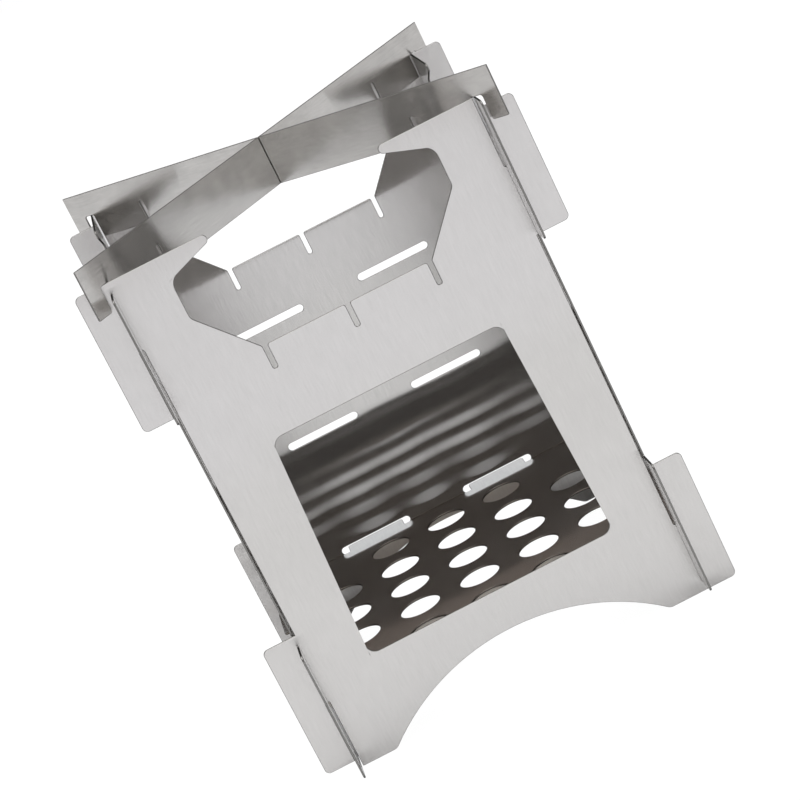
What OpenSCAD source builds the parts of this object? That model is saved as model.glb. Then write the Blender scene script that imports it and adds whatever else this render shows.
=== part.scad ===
// Slot-together wood stove: four steel walls lock into a square by half-lap slots at their tabs.
// A perforated grate hangs in the walls' lowest vents and two crossed plates carry the pot.
// The origin is on the ground under the middle of the stove, and the feed opening faces -Y.

/* [Walls] */
// Height of a wall, from the ground to its top edge
wall_h = 160; // [150:1:190]
// Distance between the middle planes of two opposite walls
wall_pitch = 112.5; // [106:0.5:124]
// Thickness of the steel sheet
sheet = 0.6; // [0.5:0.05:0.8]
// Width of the slots where two walls cross
lap_w = 1.5; // [1.2:0.1:2]
// Height left free between the closed ends of two crossing slots
lap_gap = 0.4; // [0.2:0.1:1]
// Reach of a tab past the middle plane of the wall that it crosses
tab_reach = 9.75; // [7:0.25:13]
// Height of an upper tab
upper_tab_h = 42.5; // [36:0.5:50]
// Height of a lower tab
lower_tab_h = 45; // [38:0.5:52]
// Radius of a tab's outer corners
tab_corner_r = 1.6; // [0.6:0.1:3]
// How far the outer prong beside an upward slot stops short of the slot's mouth
lead_in = 3.3; // [1:0.1:5]
// Height of the lower outer prong off the ground
prong_lift = 2.6; // [1:0.1:5]

/* [Pot notch] */
// Width of the notch between its upright sides
notch_w = 80.5; // [74:0.5:88]
// Depth of the notch below the top edge
notch_depth = 35.4; // [32:0.2:40]
// Height of the sloping stretches above the notch's floor
slope_h = 16.1; // [12:0.1:20]
// Radius where a slope meets the upright side
slope_corner_r = 2.5; // [1:0.1:4]
// Gap between the tips of the two horns
horn_gap = 52.4; // [46:0.2:58]
// Height of a horn where it leaves the upright side
horn_root_h = 7.3; // [6:0.1:9]
// Radius of a horn's tip
horn_tip_r = 1.4; // [0.8:0.1:2]
// Radius under a horn's root
horn_root_r = 4; // [2:0.1:4.5]

/* [Rest slots] */
// Distance between neighbouring rest slots in the notch's floor
rest_pitch = 25.5; // [22:0.5:28]
// Width of the rest slots in the walls and in the cross plates
rest_w = 1.5; // [1.2:0.1:2]
// Depth of the rest slots in the notch's floor
rest_depth = 7.3; // [5:0.1:10]
// Radius of the corners at the mouth of a rest slot in a wall
rest_mouth_r = 0.7; // [0.4:0.1:1]

/* [Feed opening] */
// Height of the opening's lower edge above the ground
feed_floor_z = 29.4; // [26:0.2:34]
// Height of the opening
feed_h = 70; // [55:1:76]
// Width of the opening along its lower edge
feed_floor_w = 78.3; // [66:0.1:88]
// Width of the opening along its upper edge
feed_top_w = 71.6; // [60:0.1:80]
// Radius of the opening's corners
feed_corner_r = 3.2; // [1:0.1:6]

/* [Vents] */
// Length of a vent
vent_len = 25; // [22:0.5:30]
// Height of a vent
vent_h = 2.6; // [2:0.1:4]
// Distance between the middles of the two vents in a row
vent_spacing = 44.7; // [40:0.1:50]
// Height of the lowest row's middle above the ground
vent_low_z = 23; // [21:0.2:26]
// Distance between the rows
vent_row_pitch = 40; // [34:0.5:42]
// Number of rows
vent_rows = 3; // [1:1:3]

/* [Feet] */
// Width of the arch between the feet, along the ground
arch_w = 89; // [80:0.5:94]
// Height of the arch
arch_rise = 17.1; // [12:0.1:19]
// Radius of a foot's inner corner
foot_corner_r = 2.5; // [1:0.1:4]

/* [Fire grate] */
// Room between the grate's edge and the walls' inner faces
grate_room = 0.45; // [0.2:0.05:1]
// Diameter of the air holes
hole_d = 13; // [9:0.5:15]
// Distance between the air holes' middles
hole_pitch = 20; // [17:0.5:21]
// Number of air holes in the longest row
hole_row = 5; // [3:2:5]
// Width of a grate tab
grate_tab_w = 20; // [14:0.5:21.5]
// Reach of a grate tab past the wall's outer face
grate_tab_reach = 5; // [2:0.5:8]
// Radius of a grate tab's corners
grate_tab_r = 1; // [0.5:0.1:2]

/* [Cross plates] */
// Height of a cross plate
plate_h = 15.2; // [13:0.2:20]
// Width of the notch that straddles the corner of the stove
hook_w = 4; // [3.5:0.1:5]
// Reach of that notch inwards from the line where the two walls cross
hook_inset = 1.25; // [1:0.05:1.7]
// Radius of the notch's upper corners
hook_corner_r = 0.8; // [0.3:0.1:1.2]
// Width of the leg outside the notch
leg_w = 5.7; // [4:0.1:8]
// Radius of the leg's lower corners
leg_corner_r = 0.5; // [0.3:0.1:1.5]
// Play of one cross plate in the other's middle slot
cross_play = 0.3; // [0.2:0.05:0.6]

/* [Hidden] */
$fn = 64;
// Overrun of every cut past the edge that it opens
over = 1;
// Faces of the walls
inner_face = wall_pitch / 2 - sheet / 2;
outer_face = wall_pitch / 2 + sheet / 2;
// A wall's main edge is the inner side of its lap slots, which are centred on the crossing wall
side_x = wall_pitch / 2 - lap_w / 2;
tab_x = wall_pitch / 2 + tab_reach;
upper_tab_z = wall_h - upper_tab_h;
// Crossing slots meet half-way up the tabs
upper_lap_z = wall_h - upper_tab_h / 2;
lower_lap_z = lower_tab_h / 2;
notch_floor_z = wall_h - notch_depth;
notch_floor_x = rest_pitch + rest_w / 2;
// The grate lies on the lower edges of the lowest vents
grate_z = vent_low_z - vent_h / 2;
grate_x = inner_face - grate_room;
grate_tab_x = outer_face + grate_tab_reach;
// The cross plates stand on the walls' top edges, with half their height above them
plate_z = wall_h - plate_h / 2;
corner_x = wall_pitch / sqrt(2);
hook_x = corner_x - hook_inset;
leg_x = hook_x + hook_w;
plate_x = leg_x + leg_w;
cross_w = sheet + cross_play;
steel = [0.8, 0.79, 0.78];
grate_steel = [0.62, 0.61, 0.6];
plate_steel = [0.7, 0.69, 0.68];

function unit(v) = v / norm(v);

// Material between a sharp corner and the arc of radius r that rounds it; before and after lie on its two edges
module corner_sliver(corner, before, after, r) {
    to_before = unit(before - corner);
    to_after = unit(after - corner);
    half_angle = acos(to_before * to_after) / 2;
    middle = unit(to_before + to_after);
    centre = corner + middle * r / sin(half_angle);
    reach = r / tan(half_angle);
    difference() {
        polygon([corner, corner + to_before * reach, centre, corner + to_after * reach]);
        translate(centre) circle(r);
    }
}

// Polygon whose convex corners are all rounded with one radius
module rounded_polygon(points, r) {
    count = len(points);
    difference() {
        polygon(points);
        for (i = [0 : count - 1])
            corner_sliver(points[i], points[(i + count - 1) % count], points[(i + 1) % count], r);
    }
}

// Rectangle between two opposite corners, given as low and high points
module span(low, high) {
    translate(low) square(high - low);
}

// Straight slot with one round end; it runs from its mouth to the end's tip, up or down
module lap_slot(x, mouth_z, tip_z, w) {
    toward = sign(tip_z - mouth_z);
    end_z = tip_z - toward * w / 2;
    span([x - w / 2, min(mouth_z, end_z)], [x + w / 2, max(mouth_z, end_z)]);
    translate([x, end_z]) circle(w / 2);
}

// Tab with its two outer corners rounded; it grows out of the wall's middle
module wall_tab(tip_x, low_z, high_z) {
    low_tip = [tip_x, low_z];
    high_tip = [tip_x, high_z];
    difference() {
        span([min(tip_x, 0), low_z], [max(tip_x, 0), high_z]);
        corner_sliver(low_tip, [0, low_z], high_tip, tab_corner_r);
        corner_sliver(high_tip, [0, high_z], low_tip, tab_corner_r);
    }
}

// Wall without its cut-outs, seen from outside the stove
module wall_blank() {
    span([-side_x, 0], [side_x, wall_h]);
    wall_tab(-tab_x, upper_tab_z, wall_h);
    wall_tab(-tab_x, prong_lift, lower_tab_h);
    wall_tab(tab_x, upper_tab_z, wall_h - lead_in);
    wall_tab(tab_x, 0, lower_tab_h - lead_in);
}

// The left slots open downwards and the right slots upwards, so that the four walls lock in a ring
module wall_laps() {
    x = wall_pitch / 2;
    lap_slot(-x, upper_tab_z - over, upper_lap_z + lap_gap / 2, lap_w);
    lap_slot(-x, -over, lower_lap_z + lap_gap / 2, lap_w);
    lap_slot(x, wall_h + over, upper_lap_z - lap_gap / 2, lap_w);
    lap_slot(x, lower_tab_h + over, lower_lap_z - lap_gap / 2, lap_w);
}

// Right half of the pot notch: round horn tip, sloping horn underside, upright side, slope and floor
module notch_half() {
    tip_centre = [horn_gap / 2 + horn_tip_r, wall_h - horn_tip_r];
    root = [notch_w / 2, wall_h - horn_root_h];
    slope_top = [notch_w / 2, notch_floor_z + slope_h];
    slope_foot = [notch_floor_x, notch_floor_z];
    to_root = root - tip_centre;
    tangent_angle = atan2(to_root.y, to_root.x) - acos(horn_tip_r / norm(to_root));
    tip_end = tip_centre + horn_tip_r * [cos(tangent_angle), sin(tangent_angle)];
    difference() {
        polygon([
            [-over, wall_h + over], [tip_centre.x, wall_h + over], tip_centre, tip_end,
            root, slope_top, slope_foot, [-over, notch_floor_z]
        ]);
        translate(tip_centre) circle(horn_tip_r);
        corner_sliver(root, tip_end, slope_top, horn_root_r);
        corner_sliver(slope_top, root, slope_foot, slope_corner_r);
    }
}

// Rounded corners at the mouths of the middle rest slot and of the right one
module rest_mouth_corners() {
    low_z = notch_floor_z - rest_depth;
    middle_x = rest_w / 2;
    inner_x = rest_pitch - rest_w / 2;
    halfway = [rest_pitch / 2, notch_floor_z];
    slope_top = [notch_w / 2, notch_floor_z + slope_h];
    corner_sliver([middle_x, notch_floor_z], [middle_x, low_z], halfway, rest_mouth_r);
    corner_sliver([inner_x, notch_floor_z], halfway, [inner_x, low_z], rest_mouth_r);
    corner_sliver([notch_floor_x, notch_floor_z], [notch_floor_x, low_z], slope_top, rest_mouth_r);
}

module pot_notch() {
    for (side = [0, 1])
        mirror([side, 0]) {
            notch_half();
            rest_mouth_corners();
        }
    for (i = [-1 : 1])
        lap_slot(i * rest_pitch, notch_floor_z + over, notch_floor_z - rest_depth, rest_w);
}

// Arch between the feet, one arc over its whole width, with each foot's inner corner rounded
module foot_arch() {
    arch_r = (arch_w * arch_w / 4 + arch_rise * arch_rise) / (2 * arch_rise);
    arch_centre = [0, arch_rise - arch_r];
    reach = arch_r + foot_corner_r;
    drop = foot_corner_r - arch_centre.y;
    corner_centre = [sqrt(reach * reach - drop * drop), foot_corner_r];
    arc_end = arch_centre + (corner_centre - arch_centre) * arch_r / reach;
    translate(arch_centre) circle(arch_r, $fn = 4 * $fn);
    for (side = [0, 1])
        mirror([side, 0]) difference() {
            polygon([
                arc_end, corner_centre, [corner_centre.x, -over],
                [arch_w / 2 - foot_corner_r, -over], [arch_w / 2 - foot_corner_r, 0]
            ]);
            translate(corner_centre) circle(foot_corner_r);
        }
}

module feed_opening() {
    rounded_polygon([
        [-feed_floor_w / 2, feed_floor_z], [feed_floor_w / 2, feed_floor_z],
        [feed_top_w / 2, feed_floor_z + feed_h], [-feed_top_w / 2, feed_floor_z + feed_h]
    ], feed_corner_r);
}

// Long vent with round ends
module vent() {
    straight = vent_len - vent_h;
    square([straight, vent_h], center = true);
    for (side = [-1, 1])
        translate([side * straight / 2, 0]) circle(vent_h / 2);
}

module vent_field() {
    for (row = [0 : vent_rows - 1])
        for (side = [-1, 1])
            translate([side * vent_spacing / 2, vent_low_z + row * vent_row_pitch]) vent();
}

// Wall stood up at the front of the stove and turned to its own side; the children are cut out of it
module wall(turn) {
    color(steel)
        rotate([0, 0, turn]) translate([0, -inner_face, 0]) rotate([90, 0, 0])
            linear_extrude(sheet) difference() {
                wall_blank();
                wall_laps();
                pot_notch();
                foot_arch();
                children();
            }
}

module front_panel() {
    wall(0) feed_opening();
}

module right_panel() {
    wall(90) vent_field();
}

module back_panel() {
    wall(180) vent_field();
}

module left_panel() {
    wall(270) vent_field();
}

// Two grate tabs at the back edge
module grate_tabs() {
    for (side = [-1, 1])
        translate([side * vent_spacing / 2, 0]) difference() {
            span([-grate_tab_w / 2, 0], [grate_tab_w / 2, grate_tab_x]);
            for (end = [-1, 1])
                corner_sliver([end * grate_tab_w / 2, grate_tab_x], [end * grate_tab_w / 2, 0],
                    [0, grate_tab_x], grate_tab_r);
        }
}

// Grate with tabs at its back and sides, and air holes in a square whose corners are left out
module fire_grate() {
    reach = (hole_row - 1) / 2;
    color(grate_steel)
        translate([0, 0, grate_z]) linear_extrude(sheet) difference() {
            union() {
                square(2 * grate_x, center = true);
                for (turn = [-90, 0, 90])
                    rotate(turn) grate_tabs();
            }
            for (i = [-reach : reach])
                for (j = [-reach : reach])
                    if (abs(i) + abs(j) < 2 * reach)
                        translate([i * hole_pitch, j * hole_pitch]) circle(hole_d / 2);
        }
}

// Notch that straddles a corner of the stove, open downwards, with round upper corners
module hook_notch() {
    top = plate_h / 2;
    corners = [[hook_x, top], [leg_x, top]];
    difference() {
        span([hook_x, -over], [leg_x, top]);
        corner_sliver(corners[0], [hook_x, 0], corners[1], hook_corner_r);
        corner_sliver(corners[1], [leg_x, 0], corners[0], hook_corner_r);
    }
}

// Side view of a cross plate without its middle slot; its lower edge is at height zero
module plate_outline() {
    difference() {
        span([-plate_x, 0], [plate_x, plate_h]);
        for (side = [0, 1])
            mirror([side, 0]) {
                hook_notch();
                lap_slot(wall_pitch / 2, -over, plate_h / 2, rest_w);
                corner_sliver([plate_x, 0], [leg_x, 0], [plate_x, plate_h], leg_corner_r);
                corner_sliver([leg_x, 0], [leg_x, plate_h], [plate_x, 0], leg_corner_r);
            }
    }
}

// Cross plate stood on the corners of the stove; the child is its middle slot
module cross_plate(turn) {
    color(plate_steel)
        rotate([0, 0, turn]) translate([0, sheet / 2, plate_z]) rotate([90, 0, 0])
            linear_extrude(sheet) difference() {
                plate_outline();
                children();
            }
}

module lower_cross_plate() {
    cross_plate(-45) span([-cross_w / 2, plate_h / 2], [cross_w / 2, plate_h + over]);
}

module upper_cross_plate() {
    cross_plate(45) span([-cross_w / 2, -over], [cross_w / 2, plate_h / 2]);
}

front_panel();
right_panel();
back_panel();
left_panel();
fire_grate();
lower_cross_plate();
upper_cross_plate();
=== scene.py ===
"""Dresses the slot-together wood stove: brushed steel on every sheet, a white table, a soft studio
and the photograph's camera."""

import math

import bpy
from mathutils import Matrix, Vector

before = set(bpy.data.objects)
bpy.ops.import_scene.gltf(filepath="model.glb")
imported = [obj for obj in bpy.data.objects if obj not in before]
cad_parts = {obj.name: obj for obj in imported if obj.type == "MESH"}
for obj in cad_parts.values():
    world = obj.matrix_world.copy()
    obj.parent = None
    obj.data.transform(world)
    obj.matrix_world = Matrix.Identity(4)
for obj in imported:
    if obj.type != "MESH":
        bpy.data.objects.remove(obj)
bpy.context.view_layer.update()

MM = 0.001
X_AXIS, Y_AXIS, Z_AXIS = (1, 0, 0), (0, 1, 0), (0, 0, 1)
MINUS_X, MINUS_Y = (-1, 0, 0), (0, -1, 0)
DIAGONAL = math.sqrt(0.5)
# From the front left corner of the stove to its back right one
RISING = (DIAGONAL, DIAGONAL, 0)
# From the back left corner of the stove to its front right one
FALLING = (DIAGONAL, -DIAGONAL, 0)
MINUS_FALLING = (-DIAGONAL, DIAGONAL, 0)
WHITE = (1.0, 1.0, 1.0)

# Camera, fitted to the photograph
IMAGE_PX = 800
FOCAL_PX = 2551.8
SENSOR = 36.0
CAMERA_YAW = math.radians(1.730)
CAMERA_PITCH = math.radians(-16.056)
# The photograph is turned, so that the stove leans to its left
CAMERA_ROLL = math.radians(26.54)
CAMERA_TARGET = Vector((2.825, 0, 76.681)) * MM
CAMERA_DISTANCE = 771.37 * MM
CAMERA_CLIP_START = 10 * MM

# Steel colours
WALL_STEEL = (0.628, 0.611, 0.598)
BACK_STEEL = (0.612, 0.596, 0.583)
GRATE_STEEL = (0.615, 0.592, 0.575)
PLATE_STEEL = (0.632, 0.621, 0.602)
CUT_EDGE = (0.31, 0.302, 0.29)
# Grate edges: their own darker cut colour, deepened by painted shade on the hole walls
GRATE_EDGE_AND_SHADE = (0.14, 0.125, 0.11)

# Brushed finish: highlights spread across the grain, and hardly along it
WALL_ROUGHNESS = 0.12
PLATE_ROUGHNESS = 0.15
WALL_STRETCH = 0.83
PLATE_STRETCH = 0.70
# A little of the shine is spread widely, also along the grain
HAZE = 0.07
HAZE_ROUGHNESS = 0.42
# How fast steel turns white towards a glancing view
GLANCE_POWER = 5.0
# A face is a cut edge where the cosine between its normal and the sheet's is smaller than this
EDGE_COSINE = 0.9
EDGE_ROUGHNESS = 0.42
# Painted shade: rough edges darken as they turn from the eye
EDGE_SHADE_POWER = 1.2

# Fine lines of the grain, and how much they lean the surface
GRAIN_WIDTH = 0.4 * MM
GRAIN_LENGTH = 7.0 * MM
GRAIN_DETAIL = 3.0
GRAIN_SHARPNESS = 0.6
GRAIN_SLOPE = 0.010

# Sheets are never quite flat or quite even: wide shallow waves, and smudges of shade and roughness
WAVE_WIDTH = 24 * MM
WAVE_DETAIL = 1.0
WAVE_SHARPNESS = 0.3
WAVE_SLOPE = 0.009
SMUDGE_WIDTH = 9 * MM
SMUDGE_DETAIL = 5.0
SMUDGE_SHARPNESS = 0.68
# How much the roughness changes from smudge to smudge
UNEVEN = 0.5
# Grey around which Blender's noise varies
NOISE_MIDDLE = 0.5
# Change of shade from line to line of the grain, and from smudge to smudge
FRONT_TINTS = (0.18, 0.10)
SIDE_TINTS = (0.26, 0.17)
BACK_TINTS = (0.36, 0.24)
GRATE_TINTS = (0.26, 0.22)
PLATE_TINTS = (0.42, 0.46)

# Where a sheet bends: direction to measure along, start and end of the bend, and the lean of the
# normal from its end on
BACK_BENDS = (
    (Z_AXIS, 98 * MM, 121 * MM, (0, 0, 0.0066)),
    (X_AXIS, 0.0, 42 * MM, (0.046, 0, 0)),
    (X_AXIS, 46 * MM, 56 * MM, (-0.046, 0, 0)),
    (MINUS_X, 0.0, 42 * MM, (-0.026, 0, 0)),
    (MINUS_X, 46 * MM, 56 * MM, (0.026, 0, 0)),
)
LOWER_PLATE_BENDS = (
    (FALLING, -12 * MM, 26 * MM, (0, 0, -0.034)),
    (MINUS_FALLING, 12 * MM, 40 * MM, (0, 0, 0.012)),
)
UPPER_PLATE_BENDS = (
    (RISING, -16 * MM, -2 * MM, (0, 0, 0.036)),
    (RISING, 4 * MM, 26 * MM, (0, 0, -0.036)),
)
GRATE_BENDS = ((MINUS_Y, -5 * MM, 24 * MM, (0, -0.011, 0)),)

# Edges of the sheets, broken by tumbling
EDGE_BREAK = 0.14 * MM
EDGE_ANGLE = math.radians(40)
WELD_DISTANCE = 0.001 * MM
FLAT_ANGLE = math.radians(0.2)
SPLIT_ANGLE = math.radians(30)

# Table, a hair under the feet
TABLE_REACH = 3.0
TABLE_DROP = 0.1 * MM
# Its white beside the stove, round it and farther off, and how far from the middle each is pure
# Painted light beside the stove against its own shadow, and painted shade round it
TABLE_PAINTED_WHITES = ((0.913, 0.929, 0.944), (0.858, 0.873, 0.884), (0.893, 0.908, 0.938))
TABLE_STEPS = (0.13, 0.29, 0.49)
# Its colour far off, and the distances over which it changes to that
TABLE_FAR = (0.70, 0.69, 0.69)
TABLE_FADE = (0.80, 1.10)
# Oval under the grate where the table stays in shadow, warmed by light off the steel
TABLE_IN_SHADOW = (0.66, 0.61, 0.56)
SHADOW_MIDDLE = Vector((0, 8, 0)) * MM
SHADOW_HALF_SIZE = Vector((60, 20, 1000)) * MM
SHADOW_FADE = (0.93, 1.1)
# Share of the table that glows by itself, for the camera and in the steel
TABLE_GLOW = 0.93
TABLE_GLOW_IN_STEEL = 0.11
TABLE_GLOW_STRENGTH = 1.06
# Distance in front of the middle over which the glow in the steel begins
GLOW_START = (20 * MM, 36 * MM)

# Studio, as the steel sees it
ROOM_FRONT = (0.064, 0.052, 0.043)
ROOM_SIDE = (0.36, 0.345, 0.335)
ROOM_BACK = (0.55, 0.47, 0.42)
BACKDROP = (0.84, 0.875, 0.905)
# Where its parts give way to each other, by the share of the view that points to the back
FRONT_TO_SIDE = (-0.85, 0.0)
SIDE_TO_BACK = (0.1, 0.8)
# The same, by the share of the view that points up
TABLE_TO_ROOM = (-0.02, 0.02)
BACKDROP_TO_BACK = (0.35, 0.36)
ROOM_TO_CEILING = (0.45, 0.8)

# Lamp over the stove
LAMP_PLACE = Vector((0, -0.3, 1.9))
LAMP_AIM = Vector((0, 0, 80)) * MM
LAMP_SIZE = 1.6
LAMP_POWER = 17.8


class Tree:
    """The nodes of a material or of the world, added and linked by short calls."""

    def __init__(self, tree):
        self.nodes, self.links = tree.nodes, tree.links
        self.nodes.clear()

    def add(self, kind, **settings):
        node = self.nodes.new(kind)
        for name, value in settings.items():
            setattr(node, name, value)
        return node

    def fill(self, socket, value):
        if isinstance(value, bpy.types.NodeSocket):
            self.links.new(value, socket)
        elif value is not None:
            socket.default_value = value

    def math(self, operation, a, b=None, c=None):
        node = self.add("ShaderNodeMath", operation=operation)
        for socket, value in zip(node.inputs, (a, b, c)):
            self.fill(socket, value)
        return node.outputs[0]

    def vector(self, operation, a, b=None, scale=None):
        node = self.add("ShaderNodeVectorMath", operation=operation)
        self.fill(node.inputs[0], a)
        self.fill(node.inputs[1], b)
        if scale is not None:
            self.fill(node.inputs["Scale"], scale)
        return node.outputs["Value" if operation in ("DOT_PRODUCT", "LENGTH") else "Vector"]

    def mix(self, share, a, b):
        node = self.add("ShaderNodeMix", data_type="RGBA")
        # The node has a set of sockets for every kind of data, and only those for colour are enabled
        for name, value in (("Factor", share), ("A", a), ("B", b)):
            found = [socket for socket in node.inputs if socket.name == name and socket.enabled]
            self.fill(found[0], (*value, 1) if isinstance(value, tuple) else value)
        return [socket for socket in node.outputs if socket.enabled][0]

    def ramp(self, value, low, high, to_low=0.0, to_high=1.0):
        node = self.add("ShaderNodeMapRange", interpolation_type="SMOOTHSTEP")
        for socket, given in zip(node.inputs, (value, low, high, to_low, to_high)):
            self.fill(socket, given)
        return node.outputs[0]

    def combine(self, x, y, z):
        node = self.add("ShaderNodeCombineXYZ")
        for socket, value in zip(node.inputs, (x, y, z)):
            self.fill(socket, value)
        return node.outputs[0]

    def noise(self, place, detail, sharpness):
        """Cloudy noise with patches about as wide as one unit of place."""
        node = self.add("ShaderNodeTexNoise")
        self.fill(node.inputs["Vector"], place)
        self.fill(node.inputs["Scale"], 1.0)
        self.fill(node.inputs["Detail"], detail)
        self.fill(node.inputs["Roughness"], sharpness)
        return node

    def show_blend(self, share, first, second):
        """Ends a material in a blend of two shaders."""
        blend = self.add("ShaderNodeMixShader")
        for socket, value in zip(blend.inputs, (share, first, second)):
            self.fill(socket, value)
        output = self.add("ShaderNodeOutputMaterial")
        self.links.new(blend.outputs[0], output.inputs["Surface"])


def new_material(name):
    """A material, its emptied node tree and the places on the piece that wears it."""
    material = bpy.data.materials.new(name)
    material.use_nodes = True
    tree = Tree(material.node_tree)
    return material, tree, tree.add("ShaderNodeTexCoord").outputs["Object"]


def cut_edge(tree, true_normal, facing):
    """1 on the cut edges of a sheet, 0 on its two faces."""
    turned = tree.math("ABSOLUTE", tree.vector("DOT_PRODUCT", true_normal, facing))
    return tree.math("LESS_THAN", turned, EDGE_COSINE)


def grain(tree, place, grain_axes):
    """Long fine streaks along the grain, around 0."""
    facing, across, along = grain_axes
    stretched = tree.combine(
        tree.math("DIVIDE", tree.vector("DOT_PRODUCT", place, across), GRAIN_WIDTH),
        tree.math("DIVIDE", tree.vector("DOT_PRODUCT", place, along), GRAIN_LENGTH),
        tree.math("DIVIDE", tree.vector("DOT_PRODUCT", place, facing), GRAIN_LENGTH),
    )
    noise = tree.noise(stretched, GRAIN_DETAIL, GRAIN_SHARPNESS)
    return tree.math("SUBTRACT", noise.outputs["Fac"], NOISE_MIDDLE)


def waves(tree, place):
    """Which way the surface of a sheet leans, around 0."""
    shrunk = tree.vector("SCALE", place, scale=1 / WAVE_WIDTH)
    noise = tree.noise(shrunk, WAVE_DETAIL, WAVE_SHARPNESS)
    return tree.vector("SUBTRACT", noise.outputs["Color"], (NOISE_MIDDLE,) * 3)


def smudges(tree, place):
    """Soft irregular patches, around 0."""
    shrunk = tree.vector("SCALE", place, scale=1 / SMUDGE_WIDTH)
    noise = tree.noise(shrunk, SMUDGE_DETAIL, SMUDGE_SHARPNESS)
    return tree.math("SUBTRACT", noise.outputs["Fac"], NOISE_MIDDLE)


def bend_lean(tree, place, true_normal, facing, bend):
    """How far a bend leans the normal, on both faces of the sheet."""
    direction, start, end, lean = bend
    share = tree.ramp(tree.vector("DOT_PRODUCT", place, direction), start, end)
    side = tree.math("SIGN", tree.vector("DOT_PRODUCT", true_normal, facing))
    return tree.vector("SCALE", lean, scale=tree.math("MULTIPLY", share, side))


def sheet_normal(tree, place, geometry, edge, streaks, grain_axes, bends):
    """The normal of a sheet, with the lean of its grain, its waves and its bends."""
    facing, across, _ = grain_axes
    true_normal = geometry.outputs["True Normal"]
    # Faces are flat, and only the broken edges need a smoothed normal
    normal = tree.mix(edge, true_normal, geometry.outputs["Normal"])
    slope = tree.math("MULTIPLY", streaks, GRAIN_SLOPE)
    normal = tree.vector("ADD", normal, tree.vector("SCALE", across, scale=slope))
    wave = tree.vector("SCALE", waves(tree, place), scale=WAVE_SLOPE)
    normal = tree.vector("ADD", normal, wave)
    for bend in bends:
        normal = tree.vector("ADD", normal, bend_lean(tree, place, true_normal, facing, bend))
    return tree.vector("NORMALIZE", normal)


def mirror_colour(tree, normal, edge, steel, edge_colour):
    """Steel mirrors more at a glancing angle, and its cut edges less, darkened by painted shade as
    they turn from the eye.
    """
    weight = tree.add("ShaderNodeLayerWeight")
    tree.fill(weight.inputs["Normal"], normal)
    glance = weight.outputs["Facing"]
    on_face = tree.mix(tree.math("POWER", glance, GLANCE_POWER), steel, WHITE)
    painted_edge_shade = tree.math("POWER", tree.math("SUBTRACT", 1.0, glance), EDGE_SHADE_POWER)
    return tree.mix(edge, on_face, tree.vector("SCALE", edge_colour, scale=painted_edge_shade))


def brushed_steel(name, colours, grain_axes, finish, bends=()):
    """Sheet steel with a straight grain on its two faces, and dull, darker cut edges."""
    face_colour, edge_colour = colours
    facing, _, along = grain_axes
    roughness, stretch, (line_tint, patch_tint) = finish
    material, tree, place = new_material(name)
    geometry = tree.add("ShaderNodeNewGeometry")
    edge = cut_edge(tree, geometry.outputs["True Normal"], facing)
    streaks = grain(tree, place, grain_axes)
    normal = sheet_normal(tree, place, geometry, edge, streaks, grain_axes, bends)
    patches = smudges(tree, place)
    tint = tree.math("MULTIPLY_ADD", streaks, line_tint, 1.0)
    tint = tree.math("MULTIPLY_ADD", patches, patch_tint, tint)
    steel = tree.vector("SCALE", face_colour, scale=tint)
    uneven = tree.math("MULTIPLY_ADD", patches, UNEVEN, 1.0)

    shine = tree.add("ShaderNodeBsdfAnisotropic", distribution="GGX")
    tree.fill(shine.inputs["Color"], mirror_colour(tree, normal, edge, steel, edge_colour))
    spread = tree.math("MULTIPLY", uneven, roughness)
    tree.fill(shine.inputs["Roughness"], tree.ramp(edge, 0.0, 1.0, spread, EDGE_ROUGHNESS))
    # The cut edges have no grain
    tree.fill(shine.inputs["Anisotropy"], tree.math("MULTIPLY_ADD", edge, -stretch, stretch))
    tree.fill(shine.inputs["Tangent"], tree.combine(*along))
    tree.fill(shine.inputs["Normal"], normal)

    haze = tree.add("ShaderNodeBsdfPrincipled")
    tree.fill(haze.inputs["Base Color"], tree.mix(edge, steel, edge_colour))
    tree.fill(haze.inputs["Metallic"], 1.0)
    tree.fill(haze.inputs["Roughness"], tree.math("MULTIPLY", uneven, HAZE_ROUGHNESS))
    tree.fill(haze.inputs["Normal"], normal)
    tree.show_blend(HAZE, shine.outputs[0], haze.outputs[0])
    return material


def dress(node, material):
    """Gives a piece its steel, and breaks its edges once its flat faces are whole again."""
    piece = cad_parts[node]
    piece.data.materials.clear()
    piece.data.materials.append(material)
    weld = piece.modifiers.new("weld", "WELD")
    weld.merge_threshold = WELD_DISTANCE
    merge = piece.modifiers.new("flat_faces", "DECIMATE")
    merge.decimate_type = "DISSOLVE"
    merge.angle_limit = FLAT_ANGLE
    bevel = piece.modifiers.new("broken_edges", "BEVEL")
    bevel.limit_method = "ANGLE"
    bevel.angle_limit = EDGE_ANGLE
    bevel.width = EDGE_BREAK
    bevel.segments = 1
    bevel.use_clamp_overlap = False
    split = piece.modifiers.new("sharp_corners", "EDGE_SPLIT")
    split.split_angle = SPLIT_ANGLE


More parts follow.
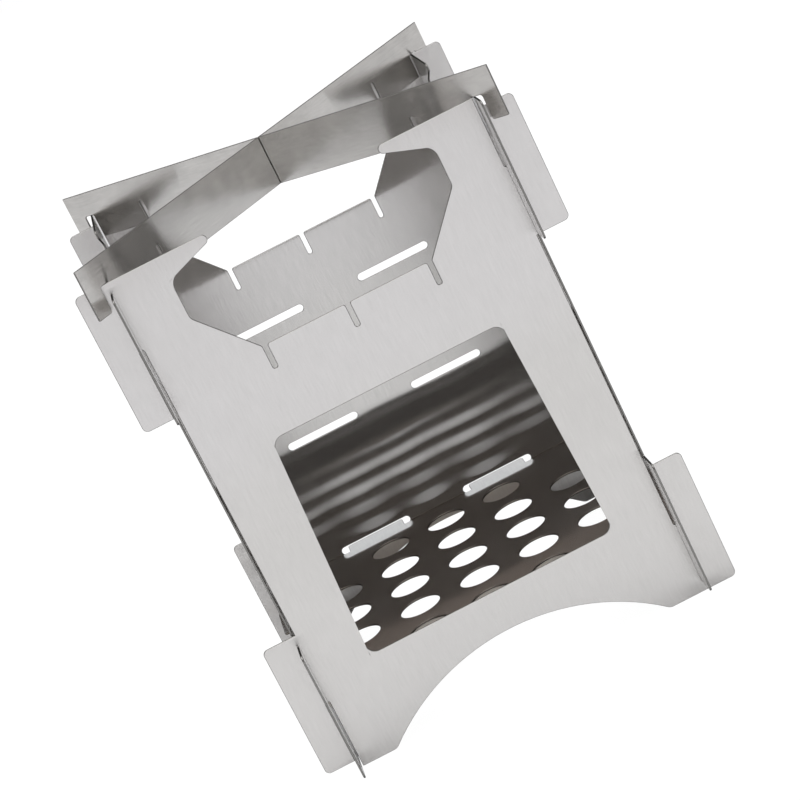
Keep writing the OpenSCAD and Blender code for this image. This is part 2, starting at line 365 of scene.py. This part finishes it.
def dress_stove():
    # Direction that a sheet faces, then across and along its grain
    facing_y = (Y_AXIS, X_AXIS, Z_AXIS)
    facing_x = (X_AXIS, Y_AXIS, Z_AXIS)
    facing_z = (Z_AXIS, X_AXIS, Y_AXIS)
    lower = (RISING, Z_AXIS, FALLING)
    upper = (FALLING, Z_AXIS, RISING)
    front = (WALL_ROUGHNESS, WALL_STRETCH, FRONT_TINTS)
    side = (WALL_ROUGHNESS, WALL_STRETCH, SIDE_TINTS)
    back = (WALL_ROUGHNESS, WALL_STRETCH, BACK_TINTS)
    grate = (WALL_ROUGHNESS, WALL_STRETCH, GRATE_TINTS)
    plate = (PLATE_ROUGHNESS, PLATE_STRETCH, PLATE_TINTS)
    on_walls = (WALL_STEEL, CUT_EDGE)
    on_back = (BACK_STEEL, CUT_EDGE)
    # The grate's edge colour carries painted shade in its holes
    on_grate = (GRATE_STEEL, GRATE_EDGE_AND_SHADE)
    on_plates = (PLATE_STEEL, CUT_EDGE)
    sides = brushed_steel("side_wall_steel", on_walls, facing_x, side)
    materials = {
        "front_panel": brushed_steel("front_wall_steel", on_walls, facing_y, front),
        "back_panel": brushed_steel("back_wall_steel", on_back, facing_y, back, BACK_BENDS),
        "right_panel": sides,
        "left_panel": sides,
        "fire_grate": brushed_steel("grate_steel", on_grate, facing_z, grate, GRATE_BENDS),
        "lower_cross_plate": brushed_steel(
            "lower_plate_steel", on_plates, lower, plate, LOWER_PLATE_BENDS
        ),
        "upper_cross_plate": brushed_steel(
            "upper_plate_steel", on_plates, upper, plate, UPPER_PLATE_BENDS
        ),
    }
    for node, material in materials.items():
        dress(node, material)


def outside_shadow(tree, place):
    """0 in the oval under the grate, 1 around it."""
    from_middle = tree.vector("SUBTRACT", place, SHADOW_MIDDLE)
    oval = tree.vector("LENGTH", tree.vector("DIVIDE", from_middle, SHADOW_HALF_SIZE))
    return tree.ramp(oval, *SHADOW_FADE)


def table_colour(tree, place, lit):
    """White in three tones of painted light and shade, duller far off, and with a painted shadow in
    the oval under the grate.
    """
    distance = tree.vector("LENGTH", place)
    beside, around, farther = TABLE_STEPS
    white_beside, white_around, white_farther = TABLE_PAINTED_WHITES
    colour = tree.mix(tree.ramp(distance, beside, around), white_beside, white_around)
    colour = tree.mix(tree.ramp(distance, around, farther), colour, white_farther)
    colour = tree.mix(tree.ramp(distance, *TABLE_FADE), colour, TABLE_FAR)
    return tree.mix(lit, TABLE_IN_SHADOW, colour)


def glow_share(tree, place, lit):
    """How much of the lit table glows by itself: nearly all for the camera, less in the steel and
    only from the front legs on, and nothing where it lights a dull surface."""
    path = tree.add("ShaderNodeLightPath")
    forward = tree.vector("DOT_PRODUCT", place, MINUS_Y)
    in_steel = tree.ramp(forward, *GLOW_START, 0.0, TABLE_GLOW_IN_STEEL)
    in_steel = tree.math("MULTIPLY", path.outputs["Is Glossy Ray"], in_steel)
    share = tree.math("MULTIPLY_ADD", path.outputs["Is Camera Ray"], TABLE_GLOW, in_steel)
    return tree.math("MULTIPLY", share, lit)


def build_floor():
    corners = ((-1, -1), (1, -1), (1, 1), (-1, 1))
    mesh = bpy.data.meshes.new("table")
    mesh.from_pydata(
        [(x * TABLE_REACH, y * TABLE_REACH, -TABLE_DROP) for x, y in corners],
        [],
        [(0, 1, 2, 3)],
    )
    floor = bpy.data.objects.new("table", mesh)
    bpy.context.scene.collection.objects.link(floor)
    material, tree, place = new_material("table_white")
    lit = outside_shadow(tree, place)
    diffuse = tree.add("ShaderNodeBsdfDiffuse")
    tree.fill(diffuse.inputs["Color"], table_colour(tree, place, lit))
    glow = tree.add("ShaderNodeEmission")
    tree.fill(glow.inputs["Strength"], TABLE_GLOW_STRENGTH)
    tree.show_blend(glow_share(tree, place, lit), diffuse.outputs[0], glow.outputs[0])
    mesh.materials.append(material)


def build_world():
    """White for the camera. The steel sees a dim room in front of the stove and a white backdrop
    behind it, under a bright ceiling."""
    world = bpy.data.worlds.new("studio")
    bpy.context.scene.world = world
    world.use_nodes = True
    tree = Tree(world.node_tree)
    path = tree.add("ShaderNodeLightPath")
    view = tree.add("ShaderNodeTexCoord").outputs["Generated"]
    upwards = tree.vector("DOT_PRODUCT", view, Z_AXIS)
    backwards = tree.vector("DOT_PRODUCT", view, Y_AXIS)
    behind = tree.mix(tree.ramp(upwards, *BACKDROP_TO_BACK), BACKDROP, ROOM_BACK)
    room = tree.mix(tree.ramp(backwards, *FRONT_TO_SIDE), ROOM_FRONT, ROOM_SIDE)
    room = tree.mix(tree.ramp(backwards, *SIDE_TO_BACK), room, behind)
    room = tree.mix(tree.ramp(upwards, *ROOM_TO_CEILING), room, WHITE)
    room = tree.mix(tree.ramp(upwards, *TABLE_TO_ROOM), TABLE_FAR, room)
    colour = tree.mix(path.outputs["Is Camera Ray"], room, WHITE)
    background = tree.add("ShaderNodeBackground")
    tree.fill(background.inputs["Color"], colour)
    output = tree.add("ShaderNodeOutputWorld")
    tree.links.new(background.outputs[0], output.inputs["Surface"])


def build_lamp():
    lamp = bpy.data.lights.new("overhead", "AREA")
    lamp.shape = "SQUARE"
    lamp.size = LAMP_SIZE
    lamp.energy = LAMP_POWER
    holder = bpy.data.objects.new("overhead", lamp)
    bpy.context.scene.collection.objects.link(holder)
    holder.location = LAMP_PLACE
    holder.rotation_mode = "QUATERNION"
    holder.rotation_quaternion = (LAMP_AIM - LAMP_PLACE).to_track_quat("-Z", "Y")


def build_camera():
    forward = Vector(
        (
            math.sin(CAMERA_YAW) * math.cos(CAMERA_PITCH),
            math.cos(CAMERA_YAW) * math.cos(CAMERA_PITCH),
            math.sin(CAMERA_PITCH),
        )
    )
    level = Vector((math.cos(CAMERA_YAW), -math.sin(CAMERA_YAW), 0))
    upright = level.cross(forward)
    right = level * math.cos(CAMERA_ROLL) - upright * math.sin(CAMERA_ROLL)
    up = upright * math.cos(CAMERA_ROLL) + level * math.sin(CAMERA_ROLL)
    data = bpy.data.cameras.new("camera")
    data.sensor_width = SENSOR
    data.lens = FOCAL_PX / IMAGE_PX * SENSOR
    data.clip_start = CAMERA_CLIP_START
    camera = bpy.data.objects.new("camera", data)
    bpy.context.scene.collection.objects.link(camera)
    turn = Matrix((right, up, -forward)).transposed().to_4x4()
    camera.matrix_world = Matrix.Translation(CAMERA_TARGET - forward * CAMERA_DISTANCE) @ turn
    bpy.context.scene.camera = camera


bpy.context.scene.view_settings.view_transform = "Standard"
build_camera()
build_floor()
build_world()
build_lamp()
dress_stove()
